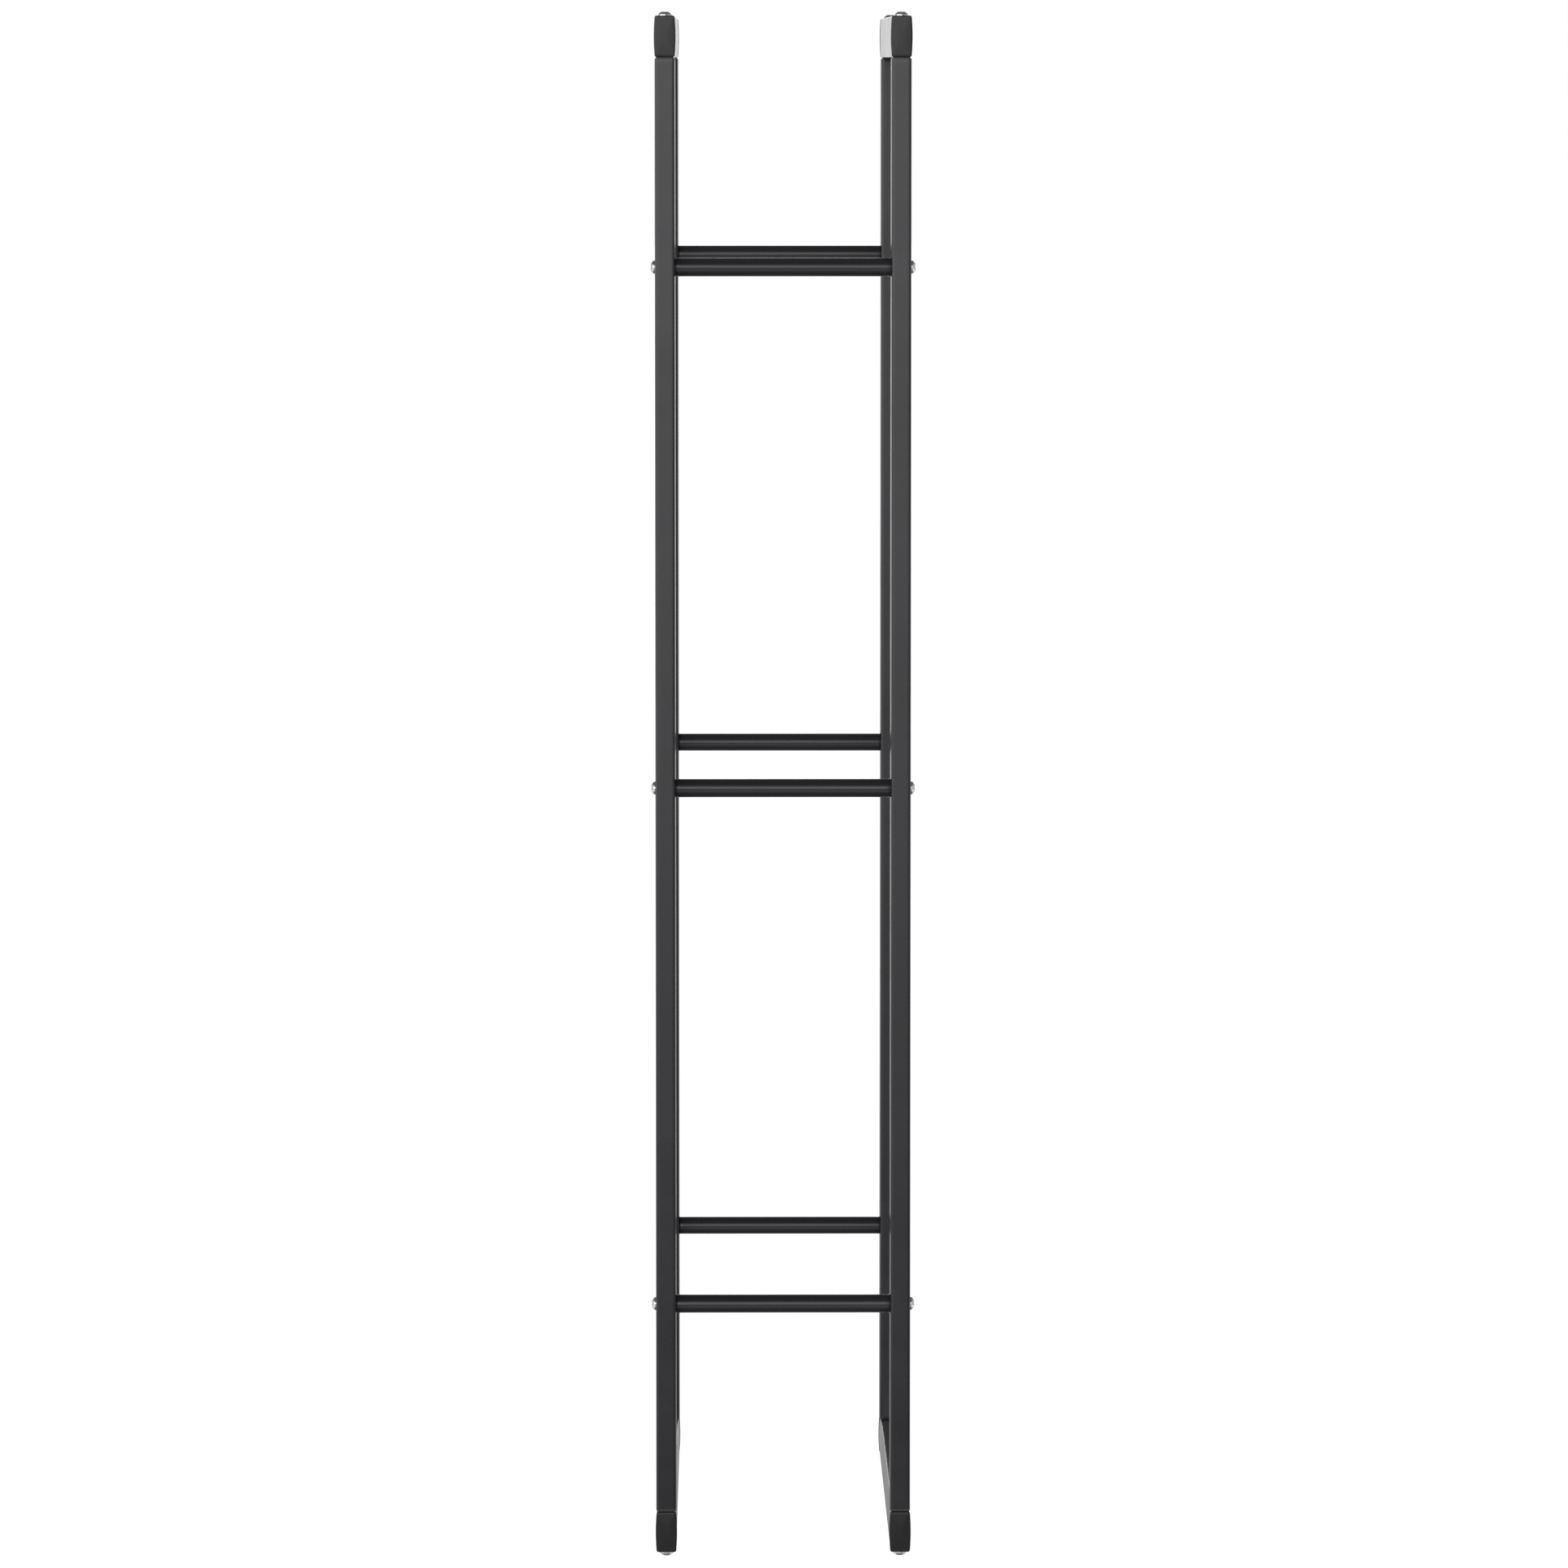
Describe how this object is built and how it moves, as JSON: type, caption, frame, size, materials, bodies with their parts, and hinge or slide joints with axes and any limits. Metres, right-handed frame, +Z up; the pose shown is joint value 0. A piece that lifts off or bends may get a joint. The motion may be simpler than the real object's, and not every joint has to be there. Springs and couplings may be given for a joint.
{
  "type": "free-standing rack",
  "caption": "Tall narrow open rack of black bowed-side tube frames joined by round rungs at both ends, bolted together and standing on its lower bolt heads.",
  "frame": {"origin": "centre of the footprint, on the floor under the crowns of the four foot bolts", "axes": "+Z up; +X through the rack's depth from the front frame to the back frame; +Y along the rails, from the right end to the left end as seen from the front"},
  "size_m": [0.2568, 0.6, 1.51],
  "materials": {
    "powder_coated_steel": "fine satin powder coat, charcoal black",
    "black_plastic": "moulded, fine satin",
    "zinc_plated_steel": "bright zinc plate",
    "plain_steel": "plain turned and cut steel, hidden"
  },
  "bodies": {
    "root": {"front_bottom_rail": "powder_coated_steel", "front_top_rail": "powder_coated_steel", "front_right_upright": "powder_coated_steel", "front_left_upright": "powder_coated_steel", "back_bottom_rail": "powder_coated_steel", "back_top_rail": "powder_coated_steel", "back_right_upright": "powder_coated_steel", "back_left_upright": "powder_coated_steel", "right_bottom_rung": "powder_coated_steel", "right_middle_rung": "powder_coated_steel", "right_top_rung": "powder_coated_steel", "left_bottom_rung": "powder_coated_steel", "left_middle_rung": "powder_coated_steel", "left_top_rung": "powder_coated_steel", "front_bottom_right_cap": "black_plastic", "front_bottom_left_cap": "black_plastic", "front_top_right_cap": "black_plastic", "front_top_left_cap": "black_plastic", "back_bottom_right_cap": "black_plastic", "back_bottom_left_cap": "black_plastic", "back_top_right_cap": "black_plastic", "back_top_left_cap": "black_plastic", "front_right_bottom_bolt": "zinc_plated_steel", "front_right_top_bolt": "zinc_plated_steel", "front_left_bottom_bolt": "zinc_plated_steel", "front_left_top_bolt": "zinc_plated_steel", "back_right_bottom_bolt": "zinc_plated_steel", "back_right_top_bolt": "zinc_plated_steel", "back_left_bottom_bolt": "zinc_plated_steel", "back_left_top_bolt": "zinc_plated_steel", "front_rung_bolts": "zinc_plated_steel", "back_rung_bolts": "zinc_plated_steel", "front_right_bottom_plug": "black_plastic", "front_right_top_plug": "black_plastic", "front_left_bottom_plug": "black_plastic", "front_left_top_plug": "black_plastic", "back_right_bottom_plug": "black_plastic", "back_right_top_plug": "black_plastic", "back_left_bottom_plug": "black_plastic", "back_left_top_plug": "black_plastic", "front_rung_inserts": "plain_steel", "back_rung_inserts": "plain_steel"}
  },
  "joints": []
}
